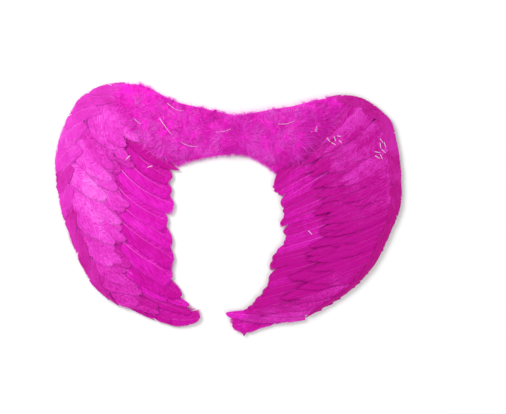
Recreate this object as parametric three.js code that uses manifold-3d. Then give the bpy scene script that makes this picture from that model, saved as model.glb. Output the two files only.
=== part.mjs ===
// A pair of feather costume wings with their bridge, lying flat with the front up.
// X runs along the span, Y from the wing tips to the shoulders, Z out of the front.
import * as THREE from 'three';
import { mergeVertices } from 'three/addons/utils/BufferGeometryUtils.js';
import Module from 'manifold-3d';

const wasm = await Module();
wasm.setup();

// Overall size, in millimetres
const SPAN = 600;
const HEIGHT = 436;

// Largest step that is smoothed away where fused pieces meet
const WELD = 0.05;

// Air between pieces that lie on each other
const GAP = 0.35;

// Elastic shoulder bands, laid flat under the board
const STRAP_WIDTH = 18;
const STRAP_THICK = 1;

// Card board that carries the feathers
const BOARD_THICK = 2;

// Feathers
const VANE_THICK = 0.8;
const VANE_CAMBER = 0.5;
const FLIGHT_TIP_LIFT = 4;

// Down ruff over the bridge and the shoulders
const RUFF_DEPTH = 11;
const LOCK_WIDTH = 24;
const LOCK_DEPTH = 8;
const LOCK_RISE = 6;

// How many feathers of each kind a wing carries
const FLIGHT_COUNT = { left: 13, right: 15 };
const COVERT_COUNT = { left: 13, right: 14 };
const RIM_COUNT = { left: 8, right: 9 };

// Outline of each wing from the bridge to the tip, as shares of half the span and half the
// height. Each row pairs a point of the outer rim with the point of the inner edge that a
// feather rooted there sweeps to.
const LEFT_WING = [
  { rimX: 0.02, rimY: 0.739, edgeX: 0.043, edgeY: 0.414 },
  { rimX: -0.148, rimY: 0.797, edgeX: -0.078, edgeY: 0.39 },
  { rimX: -0.316, rimY: 0.857, edgeX: -0.177, edgeY: 0.363 },
  { rimX: -0.496, rimY: 0.984, edgeX: -0.229, edgeY: 0.34 },
  { rimX: -0.646, rimY: 0.996, edgeX: -0.258, edgeY: 0.315 },
  { rimX: -0.762, rimY: 0.952, edgeX: -0.281, edgeY: 0.287 },
  { rimX: -0.861, rimY: 0.865, edgeX: -0.316, edgeY: 0.227 },
  { rimX: -0.925, rimY: 0.729, edgeX: -0.333, edgeY: 0.124 },
  { rimX: -0.971, rimY: 0.57, edgeX: -0.328, edgeY: -0.004 },
  { rimX: -1.0, rimY: 0.41, edgeX: -0.333, edgeY: -0.147 },
  { rimX: -1.0, rimY: 0.251, edgeX: -0.322, edgeY: -0.291 },
  { rimX: -0.98, rimY: 0.076, edgeX: -0.328, edgeY: -0.45 },
  { rimX: -0.948, rimY: -0.1, edgeX: -0.304, edgeY: -0.625 },
  { rimX: -0.89, rimY: -0.307, edgeX: -0.252, edgeY: -0.753 },
  { rimX: -0.809, rimY: -0.554, edgeX: -0.2, edgeY: -0.809 },
  { rimX: -0.658, rimY: -0.769, edgeX: -0.165, edgeY: -0.865 },
  { rimX: -0.455, rimY: -0.912, edgeX: -0.194, edgeY: -0.92 },
];
const RIGHT_WING = [
  { rimX: 0.072, rimY: 0.737, edgeX: 0.061, edgeY: 0.414 },
  { rimX: 0.217, rimY: 0.777, edgeX: 0.136, edgeY: 0.382 },
  { rimX: 0.38, rimY: 0.817, edgeX: 0.194, edgeY: 0.331 },
  { rimX: 0.525, rimY: 0.869, edgeX: 0.223, edgeY: 0.303 },
  { rimX: 0.652, rimY: 0.89, edgeX: 0.246, edgeY: 0.259 },
  { rimX: 0.774, rimY: 0.861, edgeX: 0.27, edgeY: 0.235 },
  { rimX: 0.872, rimY: 0.777, edgeX: 0.281, edgeY: 0.179 },
  { rimX: 0.942, rimY: 0.673, edgeX: 0.296, edgeY: 0.131 },
  { rimX: 0.971, rimY: 0.522, edgeX: 0.316, edgeY: 0.036 },
  { rimX: 0.991, rimY: 0.371, edgeX: 0.328, edgeY: -0.052 },
  { rimX: 1.0, rimY: 0.211, edgeX: 0.304, edgeY: -0.155 },
  { rimX: 1.0, rimY: 0.068, edgeX: 0.322, edgeY: -0.251 },
  { rimX: 0.983, rimY: -0.052, edgeX: 0.281, edgeY: -0.347 },
  { rimX: 0.942, rimY: -0.187, edgeX: 0.252, edgeY: -0.458 },
  { rimX: 0.896, rimY: -0.331, edgeX: 0.217, edgeY: -0.602 },
  { rimX: 0.826, rimY: -0.49, edgeX: 0.171, edgeY: -0.721 },
  { rimX: 0.704, rimY: -0.665, edgeX: 0.107, edgeY: -0.806 },
  { rimX: 0.542, rimY: -0.809, edgeX: 0.032, edgeY: -0.841 },
  { rimX: 0.386, rimY: -0.928, edgeX: -0.043, edgeY: -0.869 },
  { rimX: 0.229, rimY: -1.0, edgeX: 0.02, edgeY: -0.952 },
];

// Each side of the bridge: which way it lies, how many stations its wing has, how far its
// feathers bow towards the tip as a share of their reach, and how many stations the down covers
const SIDES = {
  left: { way: -1, stations: LEFT_WING.length, bow: 0.07, ruffEnd: 5.2 },
  right: { way: 1, stations: RIGHT_WING.length, bow: 0.03, ruffEnd: 5.3 },
};
const STRAIGHT_STATIONS = 6;

// Heights of the faces that the layers lie on
const BOARD_BACK = STRAP_THICK + GAP;
const BOARD_FRONT = BOARD_BACK + BOARD_THICK;
const LAYER_BASE = BOARD_FRONT + GAP;

// The rim and the inner edge, as curves that run from the left tip over the bridge to the right
const ribbonRows = [...LEFT_WING.slice().reverse(), ...RIGHT_WING];
const BRIDGE = LEFT_WING.length - 0.5;
const alongRibbon = (x, y) => new THREE.CatmullRomCurve3(
  ribbonRows.map((row) => new THREE.Vector3(row[x] * SPAN / 2, row[y] * HEIGHT / 2, 0)),
  false,
  'catmullrom',
);
const rimCurve = alongRibbon('rimX', 'rimY');
const edgeCurve = alongRibbon('edgeX', 'edgeY');

// A point of the wings: ride is the station counted from the left tip, reach runs from 0 at the
// rim to 1 at the inner edge
function spot(ride, reach) {
  const t = THREE.MathUtils.clamp(ride / (ribbonRows.length - 1), 0, 1);
  const rim = rimCurve.getPoint(t);
  const chord = edgeCurve.getPoint(t).sub(rim);
  const side = ride < BRIDGE ? SIDES.left : SIDES.right;
  const fromBridge = Math.abs(ride - BRIDGE);
  const bow = side.bow * Math.min(1, fromBridge / STRAIGHT_STATIONS);
  const swell = bow * 4 * reach * (1 - reach);
  return new THREE.Vector3(
    rim.x + chord.x * reach - side.way * chord.y * swell,
    rim.y + chord.y * reach + side.way * chord.x * swell,
    0,
  );
}

// The same, counted from the bridge along one wing
function wingSpot(side, out, reach) {
  return spot(BRIDGE + side.way * out, reach);
}

// A closed solid through rings of points that all have the same count
function loft(rings) {
  const count = rings[0].length;
  const positions = rings.flat().flatMap((p) => [p.x, p.y, p.z]);
  const faces = [];
  for (let r = 0; r + 1 < rings.length; r += 1) {
    for (let k = 0; k < count; k += 1) {
      const a = r * count + k;
      const b = r * count + (k + 1) % count;
      faces.push(a, b, b + count, a, b + count, a + count);
    }
  }
  const last = (rings.length - 1) * count;
  for (let k = 1; k + 1 < count; k += 1) {
    faces.push(0, k + 1, k, last, last + k, last + k + 1);
  }
  const geometry = new THREE.BufferGeometry();
  geometry.setAttribute('position', new THREE.Float32BufferAttribute(positions, 3));
  geometry.setIndex(faces);
  return facingOut(geometry);
}

// Turns the faces round where a mirrored side has them pointing in
function facingOut(geometry) {
  const at = geometry.getAttribute('position');
  const index = geometry.getIndex();
  const corners = [0, 1, 2].map(() => new THREE.Vector3());
  let volume = 0;
  for (let f = 0; f < index.count; f += 3) {
    corners.forEach((corner, k) => corner.fromBufferAttribute(at, index.getX(f + k)));
    volume += corners[0].dot(corners[1].clone().cross(corners[2]));
  }
  if (volume < 0) {
    for (let f = 0; f < index.count; f += 3) {
      const kept = index.getX(f);
      index.setX(f, index.getX(f + 1));
      index.setX(f + 1, kept);
    }
  }
  return geometry;
}

// One body fused from many overlapping ones
function fuse(geometries) {
  const solids = geometries.map((geometry) => {
    const welded = mergeVertices(geometry, 1e-4);
    return new wasm.Manifold(new wasm.Mesh({
      numProp: 3,
      vertProperties: new Float32Array(welded.getAttribute('position').array),
      triVerts: new Uint32Array(welded.getIndex().array),
    }));
  });
  const whole = solids.reduce((sum, solid) => sum.add(solid)).asOriginal().simplify(WELD);
  const mesh = whole.getMesh();
  const geometry = new THREE.BufferGeometry();
  geometry.setAttribute('position', new THREE.BufferAttribute(mesh.vertProperties, 3));
  geometry.setIndex(new THREE.BufferAttribute(mesh.triVerts, 1));
  return geometry;
}

const group = new THREE.Group();

function addPiece(name, geometry, material) {
  const mesh = new THREE.Mesh(geometry, material);
  mesh.name = name;
  group.add(mesh);
}

const cardMaterial = new THREE.MeshStandardMaterial({ color: 0xb3178a, roughness: 0.9, metalness: 0 });
const elasticMaterial = new THREE.MeshStandardMaterial({ color: 0xd41fa8, roughness: 0.8, metalness: 0 });
const flightMaterial = new THREE.MeshStandardMaterial({ color: 0xdd26b8, roughness: 0.45, metalness: 0 });
const covertMaterial = new THREE.MeshStandardMaterial({ color: 0xee48da, roughness: 0.6, metalness: 0 });
const rimMaterial = new THREE.MeshStandardMaterial({ color: 0xe534cb, roughness: 0.5, metalness: 0 });
const downMaterial = new THREE.MeshStandardMaterial({ color: 0xe63cc6, roughness: 0.95, metalness: 0 });

// Backing board: one card panel under both wings and the bridge, set back from the feathers
const BOARD_RIM_REACH = 0.06;
const BOARD_EDGE_REACH = 0.78;
const BOARD_TIP_STATIONS = 2.2;
const BOARD_STEPS = 36;

function boardShape() {
  const from = BOARD_TIP_STATIONS;
  const to = ribbonRows.length - 1 - BOARD_TIP_STATIONS;
  const rimSide = [];
  const edgeSide = [];
  for (let k = 0; k <= BOARD_STEPS; k += 1) {
    const ride = THREE.MathUtils.lerp(from, to, k / BOARD_STEPS);
    rimSide.push(spot(ride, BOARD_RIM_REACH));
    edgeSide.push(spot(ride, BOARD_EDGE_REACH));
  }
  return new THREE.Shape([...rimSide.reverse(), ...edgeSide]);
}

const boardGeometry = new THREE.ExtrudeGeometry(boardShape(), {
  depth: BOARD_THICK,
  bevelEnabled: false,
});
boardGeometry.translate(0, 0, BOARD_BACK);
addPiece('backing_board', boardGeometry, cardMaterial);

// Shoulder straps: flat elastic bands behind each shoulder, from the bridge down the wing
const STRAP_ROUTE = [
  { out: 1.0, reach: 0.42 },
  { out: 2.4, reach: 0.5 },
  { out: 4.2, reach: 0.62 },
  { out: 6.4, reach: 0.64 },
  { out: 8.6, reach: 0.63 },
  { out: 10.6, reach: 0.6 },
];
const STRAP_STEPS = 14;

function strapGeometry(side) {
  const route = new THREE.CatmullRomCurve3(
    STRAP_ROUTE.map((row) => wingSpot(side, row.out, row.reach)),
  );
  const innerSide = [];
  const outerSide = [];
  for (let k = 0; k <= STRAP_STEPS; k += 1) {
    const at = route.getPoint(k / STRAP_STEPS);
    const along = route.getTangent(k / STRAP_STEPS);
    const half = new THREE.Vector3(-along.y, along.x, 0).multiplyScalar(STRAP_WIDTH / 2);
    innerSide.push(at.clone().add(half));
    outerSide.push(at.clone().sub(half));
  }
  return new THREE.ExtrudeGeometry(new THREE.Shape([...innerSide.reverse(), ...outerSide]), {
    depth: STRAP_THICK,
    bevelEnabled: false,
  });
}

for (const [name, side] of Object.entries(SIDES)) {
  addPiece(`shoulder_strap_${name}`, strapGeometry(side), elasticMaterial);
}

// How high a shingled feather lies: it climbs over the next one towards the tip of the wing, and
// each row climbs over the row nearer the inner edge
const OVERLAP_HALF = 0.62;
const NEXT_CLIMB = VANE_THICK + VANE_CAMBER + GAP;
const ROW_CLIMB = 2 * OVERLAP_HALF * NEXT_CLIMB + VANE_THICK + VANE_CAMBER + GAP;

// Where the rows root: the flight feathers, the covert row nearest the rim, and even steps between
const FLIGHT_ROOT_REACH = 0.44;
const RIM_COVERT_REACH = 0.08;
const COVERT_ROW_COUNT = 3;
const ROW_SPACING = (FLIGHT_ROOT_REACH - RIM_COVERT_REACH) / COVERT_ROW_COUNT;

// Outline of a feather: its half width along its length, as shares of the widest and the whole
const FLIGHT_OUTLINE = [
  { along: 0, width: 0.45 },
  { along: 0.18, width: 0.85 },
  { along: 0.42, width: 1 },
  { along: 0.66, width: 0.98 },
  { along: 0.84, width: 0.84 },
  { along: 0.94, width: 0.6 },
  { along: 1, width: 0.2 },
];
const SHORT_OUTLINE = [
  { along: 0, width: 0.55 },
  { along: 0.35, width: 0.95 },
  { along: 0.7, width: 1 },
  { along: 0.9, width: 0.68 },
  { along: 1, width: 0.2 },
];

// A feather as a thin closed blade, raised along its shaft. centre gives its mid line and half
// its widest across, both in stations and reach, and height the level that it lies on, from the
// place there, the share of its length and the stations off its mid line.
function feather(side, outline, centre, half, height) {
  const rings = outline.map((row) => {
    const mid = centre(row.along);
    const lie = (share, rise) => {
      const out = mid.out + share * row.width * half.out;
      const reach = mid.reach + share * row.width * half.reach;
      const point = wingSpot(side, out, reach);
      point.z = height(out, reach, row.along, out - mid.out) + rise;
      return point;
    };
    return [
      lie(-1, 0),
      lie(1, 0),
      lie(1, VANE_THICK),
      lie(0, VANE_THICK + VANE_CAMBER),
      lie(-1, VANE_THICK),
    ];
  });
  return loft(rings);
}

// Stations at which the feathers of one wing start and stop
const RUFF_CLEARANCE = 0.05;

function spread(side, count, start, stop) {
  const first = side.ruffEnd + RUFF_CLEARANCE + start;
  const last = side.stations - 0.5 + stop;
  const pitch = (last - first) / (count - 1 + 2 * OVERLAP_HALF);
  const outs = [];
  for (let k = 0; k < count; k += 1) {
    outs.push(first + (OVERLAP_HALF + k) * pitch);
  }
  return { pitch, outs };
}

// Flight feathers: the long row that sweeps to the inner edge. Their roots lag towards the
// bridge, more so for each feather nearer the tip of the wing, and they come round from there.
const FLIGHT_TIP_REACH = 1.01;
const FLIGHT_LAG = { left: 1.1, right: 0.4 };
const FLIGHT_TURN = 2.2;

function flightFeather(side, out, pitch, lag) {
  const half = { out: OVERLAP_HALF * pitch, reach: 0 };
  const centre = (along) => ({
    out: out - lag * (1 - along) ** FLIGHT_TURN,
    reach: THREE.MathUtils.lerp(FLIGHT_ROOT_REACH, FLIGHT_TIP_REACH, along),
  });
  const height = (at, reach, along, aside) => LAYER_BASE
    + NEXT_CLIMB * (aside / pitch + OVERLAP_HALF)
    + FLIGHT_TIP_LIFT * along * along;
  return feather(side, FLIGHT_OUTLINE, centre, half, height);
}

for (const [name, side] of Object.entries(SIDES)) {
  const { pitch, outs } = spread(side, FLIGHT_COUNT[name], 0, 0);
  outs.forEach((out, k) => {
    const number = String(k + 1).padStart(2, '0');
    const lag = FLIGHT_LAG[name] * k / (outs.length - 1);
    const geometry = flightFeather(side, out, pitch, lag);
    addPiece(`flight_feather_${name}_${number}`, geometry, flightMaterial);
  });
}

// Covert rows: shorter feathers glued side by side to a root band, row 1 nearest the inner edge
const COVERT_ROWS = [
  { root: FLIGHT_ROOT_REACH - ROW_SPACING, length: 0.27, stagger: 0.35 },
  { root: FLIGHT_ROOT_REACH - 2 * ROW_SPACING, length: 0.28, stagger: 0 },
  { root: RIM_COVERT_REACH, length: 0.28, stagger: 0.35 },
];
const COVERT_TIP_STATIONS = 1.1;
const ROOT_BAND_REACH = 0.03;
const ROOT_BAND_STEPS = 12;

// A low strip along the wing that the roots of a row sink into. Its top slants as the rows do.
function rootBand(side, from, to, reachFrom, reachTo, top) {
  const slant = ROW_CLIMB * (reachTo - reachFrom) / ROW_SPACING;
  const rings = [];
  for (let k = 0; k <= ROOT_BAND_STEPS; k += 1) {
    const out = THREE.MathUtils.lerp(from, to, k / ROOT_BAND_STEPS);
    const inner = wingSpot(side, out, reachTo);
    const outer = wingSpot(side, out, reachFrom);
    rings.push([
      outer.clone().setZ(LAYER_BASE),
      inner.clone().setZ(LAYER_BASE),
      inner.clone().setZ(LAYER_BASE + top + slant),
      outer.clone().setZ(LAYER_BASE + top),
    ]);
  }
  return loft(rings);
}

function covertRow(side, count, row) {
  const { pitch, outs } = spread(side, count, row.stagger, row.stagger - COVERT_TIP_STATIONS);
  const half = { out: OVERLAP_HALF * pitch, reach: 0 };
  const feathers = outs.map((out) => feather(
    side,
    SHORT_OUTLINE,
    (along) => ({ out, reach: row.root + ROOT_BAND_REACH / 2 + row.length * along }),
    half,
    (at, reach) => LAYER_BASE
      + NEXT_CLIMB * ((at - out) / pitch + OVERLAP_HALF)
      + ROW_CLIMB * (reach - row.root) / ROW_SPACING,
  ));
  const band = rootBand(
    side,
    outs[0],
    outs.at(-1),
    row.root,
    row.root + ROOT_BAND_REACH,
    ROW_CLIMB - GAP,
  );
  return fuse([band, ...feathers]);
}

for (const [name, side] of Object.entries(SIDES)) {
  COVERT_ROWS.forEach((row, k) => {
    const geometry = covertRow(side, COVERT_COUNT[name], row);
    addPiece(`covert_row_${name}_${k + 1}`, geometry, covertMaterial);
  });
}

// Rim rows: broad feathers laid along the outer rim, each over the root of the next. Each slants
// from its root, set in from the rim, out to its tip on the rim.
const RIM_OUTER_REACH = -0.02;
const RIM_HALF_REACH = 0.07;
const RIM_ROOT_REACH = 0.1;
const RIM_TIP_REACH = 0.05;
const RIM_OVERLAP = 1.5;
const RIM_BAND_OUTER = 0.045;
const RIM_BAND_INNER = 0.068;
const RIM_BAND_TOP = 3.2;
const RIM_BAND_INSET = 0.1;

function rimRow(side, count) {
  const start = side.ruffEnd + RUFF_CLEARANCE;
  const stop = side.stations - 0.5;
  const pitch = (stop - start) / (count - 1 + RIM_OVERLAP);
  const rise = ROW_CLIMB / (RIM_COVERT_REACH - RIM_OUTER_REACH);
  const climb = (reach) => rise * (reach - RIM_OUTER_REACH);
  const feathers = [];
  for (let k = 0; k < count; k += 1) {
    const root = start + k * pitch;
    feathers.push(feather(
      side,
      SHORT_OUTLINE,
      (along) => ({
        out: root + RIM_OVERLAP * pitch * along,
        reach: THREE.MathUtils.lerp(RIM_ROOT_REACH, RIM_TIP_REACH, along),
      }),
      { out: 0, reach: RIM_HALF_REACH },
      (out, reach) => LAYER_BASE + climb(reach) + NEXT_CLIMB * (out - root) / pitch,
    ));
  }
  const from = start + RIM_BAND_INSET;
  const to = start + (count - 1) * pitch + RIM_BAND_INSET;
  const band = rootBand(side, from, to, RIM_BAND_OUTER, RIM_BAND_INNER, RIM_BAND_TOP);
  return fuse([band, ...feathers]);
}

for (const [name, side] of Object.entries(SIDES)) {
  addPiece(`rim_row_${name}`, rimRow(side, RIM_COUNT[name]), rimMaterial);
}

// Down ruff: a mat of fluff with soft locks that stand out of it and past its edges
const RUFF_RIM_REACH = 0.03;
const RUFF_EDGE_REACH = 0.97;
const RUFF_BRIDGE_OUT = 1.3;
const RUFF_JOINT = 0.03;
const LOCK_COLUMNS = 4;
const LOCK_STAGGER = 0.3;
const MAT_SECTION = [
  { across: 0, top: 0.35 },
  { across: 0.16, top: 0.85 },
  { across: 0.38, top: 1 },
  { across: 0.62, top: 1 },
  { across: 0.84, top: 0.85 },
  { across: 1, top: 0.35 },
];
const MAT_STEPS = 6;

function ruffMat(from, to) {
  const rings = [];
  for (let k = 0; k <= MAT_STEPS; k += 1) {
    const ride = THREE.MathUtils.lerp(from, to, k / MAT_STEPS);
    const reachAt = (across) => THREE.MathUtils.lerp(RUFF_RIM_REACH, RUFF_EDGE_REACH, across);
    const top = MAT_SECTION.map((row) => {
      return spot(ride, reachAt(row.across)).setZ(LAYER_BASE + RUFF_DEPTH * row.top);
    });
    rings.push([
      spot(ride, reachAt(1)).setZ(LAYER_BASE),
      spot(ride, reachAt(0)).setZ(LAYER_BASE),
      ...top,
    ]);
  }
  return loft(rings);
}

// A lock of down: a plump tapered strip that starts in the mat and ends in a soft point
const LOCK_OUTLINE = [
  { along: 0, width: 0.6, rise: -0.4 },
  { along: 0.35, width: 1, rise: 0.5 },
  { along: 0.75, width: 0.8, rise: 0.5 },
  { along: 1, width: 0.15, rise: 0 },
];

function downLock(root, tip, width) {
  const way = tip.clone().sub(root).normalize();
  const across = new THREE.Vector3(-way.y, way.x, 0).normalize();
  const rings = LOCK_OUTLINE.map((row) => {
    const middle = root.clone().lerp(tip, row.along);
    middle.z += row.rise * LOCK_RISE;
    const side = across.clone().multiplyScalar(row.width * width / 2);
    const low = middle.clone();
    low.z -= row.width * LOCK_DEPTH / 2;
    const high = middle.clone();
    high.z += row.width * LOCK_DEPTH / 2;
    return [low, middle.clone().add(side), high, middle.clone().sub(side)];
  });
  return loft(rings);
}

// Locks stand in lines across the mat: where a line roots, how far it reaches towards the inner
// edge and along the wing, how high it roots and ends as shares of the mat's depth, how wide its
// locks are, and how many stations it keeps clear of the first feathers
const LOCK_CLEARANCE = 0.27;
const LOCK_LINES = [
  { root: 0.2, reach: -0.19, onward: 0.3, low: 0.6, high: 0.4, width: 1, clear: 0.3 },
  { root: 0.22, reach: 0.26, onward: 0.6, low: 0.9, high: 1.25, width: 1, clear: 0.45 },
  { root: 0.46, reach: 0.26, onward: 0.5, low: 0.95, high: 1.15, width: 1, clear: 0.8 },
  { root: 0.76, reach: 0.235, onward: 0.1, low: 0.7, high: 0.4, width: 0.65, clear: 1.1 },
];

function ruffPiece(from, to, columns, meetsFeathers) {
  const locks = [];
  const onwards = Math.sign(to - from);
  LOCK_LINES.forEach((line, row) => {
    const first = from + onwards * LOCK_CLEARANCE;
    const last = to - onwards * (meetsFeathers ? line.clear : LOCK_CLEARANCE);
    for (let k = 0; k < columns; k += 1) {
      const stagger = row % 2 ? LOCK_STAGGER : 0;
      const share = (k + stagger) / (columns - 1 + LOCK_STAGGER);
      const ride = THREE.MathUtils.lerp(first, last, share);
      const way = ride < BRIDGE ? -1 : 1;
      const ahead = THREE.MathUtils.clamp(
        ride + way * line.onward,
        Math.min(first, last),
        Math.max(first, last),
      );
      const root = spot(ride, line.root).setZ(LAYER_BASE + RUFF_DEPTH * line.low);
      const tip = spot(ahead, line.root + line.reach).setZ(LAYER_BASE + RUFF_DEPTH * line.high);
      locks.push(downLock(root, tip, line.width * LOCK_WIDTH));
    }
  });
  return fuse([ruffMat(from, to), ...locks]);
}

for (const [name, side] of Object.entries(SIDES)) {
  const from = BRIDGE + side.way * (RUFF_BRIDGE_OUT + RUFF_JOINT);
  const to = BRIDGE + side.way * side.ruffEnd;
  addPiece(`down_ruff_${name}`, ruffPiece(from, to, LOCK_COLUMNS, true), downMaterial);
}
const bridgeRuff = ruffPiece(
  BRIDGE - RUFF_BRIDGE_OUT,
  BRIDGE + RUFF_BRIDGE_OUT,
  LOCK_COLUMNS,
  false,
);
addPiece('down_ruff_bridge', bridgeRuff, downMaterial);

export default group;
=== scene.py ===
import math

import bpy
import numpy as np
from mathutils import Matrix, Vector, noise


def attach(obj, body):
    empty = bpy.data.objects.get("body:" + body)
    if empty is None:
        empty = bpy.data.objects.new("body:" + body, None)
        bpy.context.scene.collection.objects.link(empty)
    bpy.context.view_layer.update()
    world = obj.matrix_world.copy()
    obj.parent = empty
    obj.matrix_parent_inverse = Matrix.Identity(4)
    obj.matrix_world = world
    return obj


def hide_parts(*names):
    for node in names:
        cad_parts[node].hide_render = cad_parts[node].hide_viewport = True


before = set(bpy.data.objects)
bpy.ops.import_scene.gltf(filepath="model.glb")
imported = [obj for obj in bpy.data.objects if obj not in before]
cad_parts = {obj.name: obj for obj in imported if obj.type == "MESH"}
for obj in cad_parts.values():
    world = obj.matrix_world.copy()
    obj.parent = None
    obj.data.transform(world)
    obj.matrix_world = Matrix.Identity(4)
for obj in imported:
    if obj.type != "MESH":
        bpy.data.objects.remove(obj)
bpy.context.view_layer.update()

# Camera. It looks straight down on the wings, which lie with their front up, from the height
# at which a long lens shows them as the photograph does. The wings sit left of the middle.
PHOTO_WIDTH_PX = 506
PHOTO_MIDDLE_PX = (253.0, 207.0)
WINGS_MIDDLE_PX = (228.5, 206.5)
METRES_PER_PX = 0.001739
CAMERA_HEIGHT = 2.4
SENSOR_MM = 36.0

camera_data = bpy.data.cameras.new("camera")
camera_data.sensor_width = SENSOR_MM
camera_data.lens = SENSOR_MM * CAMERA_HEIGHT / (PHOTO_WIDTH_PX * METRES_PER_PX)
camera = bpy.data.objects.new("camera", camera_data)
camera.location = (
    (PHOTO_MIDDLE_PX[0] - WINGS_MIDDLE_PX[0]) * METRES_PER_PX,
    (WINGS_MIDDLE_PX[1] - PHOTO_MIDDLE_PX[1]) * METRES_PER_PX,
    CAMERA_HEIGHT,
)
bpy.context.scene.collection.objects.link(camera)
bpy.context.scene.camera = camera
bpy.context.scene.view_settings.view_transform = "Standard"

# Floor. A plain pale sheet that the wings lie on, with the faint tooth of matt paper.
FLOOR_HALF = 4.0
FLOOR_COLOUR = (0.93, 0.93, 0.93)

floor_mesh = bpy.data.meshes.new("floor")
floor_mesh.from_pydata(
    [(x * FLOOR_HALF, y * FLOOR_HALF, 0.0) for x, y in ((-1, -1), (1, -1), (1, 1), (-1, 1))],
    [],
    [(0, 1, 2, 3)],
)
floor = bpy.data.objects.new("floor", floor_mesh)
bpy.context.scene.collection.objects.link(floor)


def new_material(name, roughness):
    """A material with its shader, ready for the finish of one kind of piece"""
    material = bpy.data.materials.new(name)
    material.use_nodes = True
    shader = material.node_tree.nodes["Principled BSDF"]
    shader.inputs["Roughness"].default_value = roughness
    return material, material.node_tree, shader


def add_node(tree, kind, **settings):
    """A node with its settings"""
    node = tree.nodes.new(kind)
    for key, value in settings.items():
        setattr(node, key, value)
    return node


def add_noise(tree, vector, scale, detail):
    """Noise over a vector, as a value from 0 to 1"""
    texture = add_node(tree, "ShaderNodeTexNoise")
    texture.inputs["Scale"].default_value = scale
    texture.inputs["Detail"].default_value = detail
    tree.links.new(vector, texture.inputs["Vector"])
    return texture.outputs["Fac"]


def add_bump(tree, shader, height, distance, strength):
    """Relief on the surface, from a height"""
    bump = add_node(tree, "ShaderNodeBump")
    bump.inputs["Distance"].default_value = distance
    bump.inputs["Strength"].default_value = strength
    tree.links.new(height, bump.inputs["Height"])
    tree.links.new(bump.outputs["Normal"], shader.inputs["Normal"])


paper, paper_tree, paper_shader = new_material("floor_paper", 0.95)
paper_shader.inputs["Base Color"].default_value = (*FLOOR_COLOUR, 1.0)
paper_place = add_node(paper_tree, "ShaderNodeTexCoord").outputs["Object"]
add_bump(paper_tree, paper_shader, add_noise(paper_tree, paper_place, 900.0, 2.0), 0.0001, 0.2)
floor_mesh.materials.append(paper)


# Light. A large soft lamp from the upper left, a weaker one from the lower right, and a white room.
ROOM_LIGHT = 0.6


def add_lamp(name, place, size, power):
    """A square lamp that faces the wings"""
    data = bpy.data.lights.new(name, "AREA")
    data.size = size
    data.energy = power
    lamp = bpy.data.objects.new(name, data)
    lamp.location = place
    lamp.rotation_euler = (-Vector(place)).to_track_quat("-Z", "Y").to_euler()
    bpy.context.scene.collection.objects.link(lamp)


add_lamp("key_lamp", (-1.1, 0.9, 1.3), 0.9, 26.0)
add_lamp("fill_lamp", (1.2, -1.1, 1.5), 1.4, 12.0)

world = bpy.data.worlds.new("white_room")
world.use_nodes = True
world.node_tree.nodes["Background"].inputs["Color"].default_value = (1.0, 1.0, 1.0, 1.0)
world.node_tree.nodes["Background"].inputs["Strength"].default_value = ROOM_LIGHT
bpy.context.scene.world = world


# Backing board. One panel of stiff card in the shape of both wings and the bridge, dyed like
# the feathers, which are glued to its front. Its cut edge is set back behind the feather tips.
# The tables give the outline from the bridge to each tip, as shares of half the span and half
# the height: a point of the outer rim, and the point of the inner edge that a feather rooted
# there sweeps to.
SPAN = 0.600
HEIGHT = 0.436
LEFT_WING = [
    (0.02, 0.739, 0.043, 0.414),
    (-0.148, 0.797, -0.078, 0.39),
    (-0.316, 0.857, -0.177, 0.363),
    (-0.496, 0.984, -0.229, 0.34),
    (-0.646, 0.996, -0.258, 0.315),
    (-0.762, 0.952, -0.281, 0.287),
    (-0.861, 0.865, -0.316, 0.227),
    (-0.925, 0.729, -0.333, 0.124),
    (-0.971, 0.57, -0.328, -0.004),
    (-1.0, 0.41, -0.333, -0.147),
    (-1.0, 0.251, -0.322, -0.291),
    (-0.98, 0.076, -0.328, -0.45),
    (-0.948, -0.1, -0.304, -0.625),
    (-0.89, -0.307, -0.252, -0.753),
    (-0.809, -0.554, -0.2, -0.809),
    (-0.658, -0.769, -0.165, -0.865),
    (-0.455, -0.912, -0.194, -0.92),
]
RIGHT_WING = [
    (0.072, 0.737, 0.061, 0.414),
    (0.217, 0.777, 0.136, 0.382),
    (0.38, 0.817, 0.194, 0.331),
    (0.525, 0.869, 0.223, 0.303),
    (0.652, 0.89, 0.246, 0.259),
    (0.774, 0.861, 0.27, 0.235),
    (0.872, 0.777, 0.281, 0.179),
    (0.942, 0.673, 0.296, 0.131),
    (0.971, 0.522, 0.316, 0.036),
    (0.991, 0.371, 0.328, -0.052),
    (1.0, 0.211, 0.304, -0.155),
    (1.0, 0.068, 0.322, -0.251),
    (0.983, -0.052, 0.281, -0.347),
    (0.942, -0.187, 0.252, -0.458),
    (0.896, -0.331, 0.217, -0.602),
    (0.826, -0.49, 0.171, -0.721),
    (0.704, -0.665, 0.107, -0.806),
    (0.542, -0.809, 0.032, -0.841),
    (0.386, -0.928, -0.043, -0.869),
    (0.229, -1.0, 0.02, -0.952),
]
SIDES = {
    "left": {"way": -1, "stations": len(LEFT_WING), "bow": 0.07, "ruff_end": 5.2},
    "right": {"way": 1, "stations": len(RIGHT_WING), "bow": 0.03, "ruff_end": 5.3},
}
STRAIGHT_STATIONS = 6.0
BRIDGE = len(LEFT_WING) - 0.5

ribbon = np.array(LEFT_WING[::-1] + RIGHT_WING) * np.array([SPAN, HEIGHT, SPAN, HEIGHT]) / 2.0


def curve_through(points, place):
    """Points on the smooth curve through a row of points. A place is counted in points."""
    start = np.minimum(place.astype(int), len(points) - 2)
    t = (place - start)[..., None]
    padded = np.vstack([2 * points[0] - points[1], points, 2 * points[-1] - points[-2]])
    before, here, after, beyond = (padded[start + k] for k in range(4))
    leave, arrive = (after - before) / 2, (beyond - here) / 2
    rise = 3 * (after - here) - 2 * leave - arrive
    return here + leave * t + rise * t**2 + (2 * (here - after) + leave + arrive) * t**3


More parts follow.
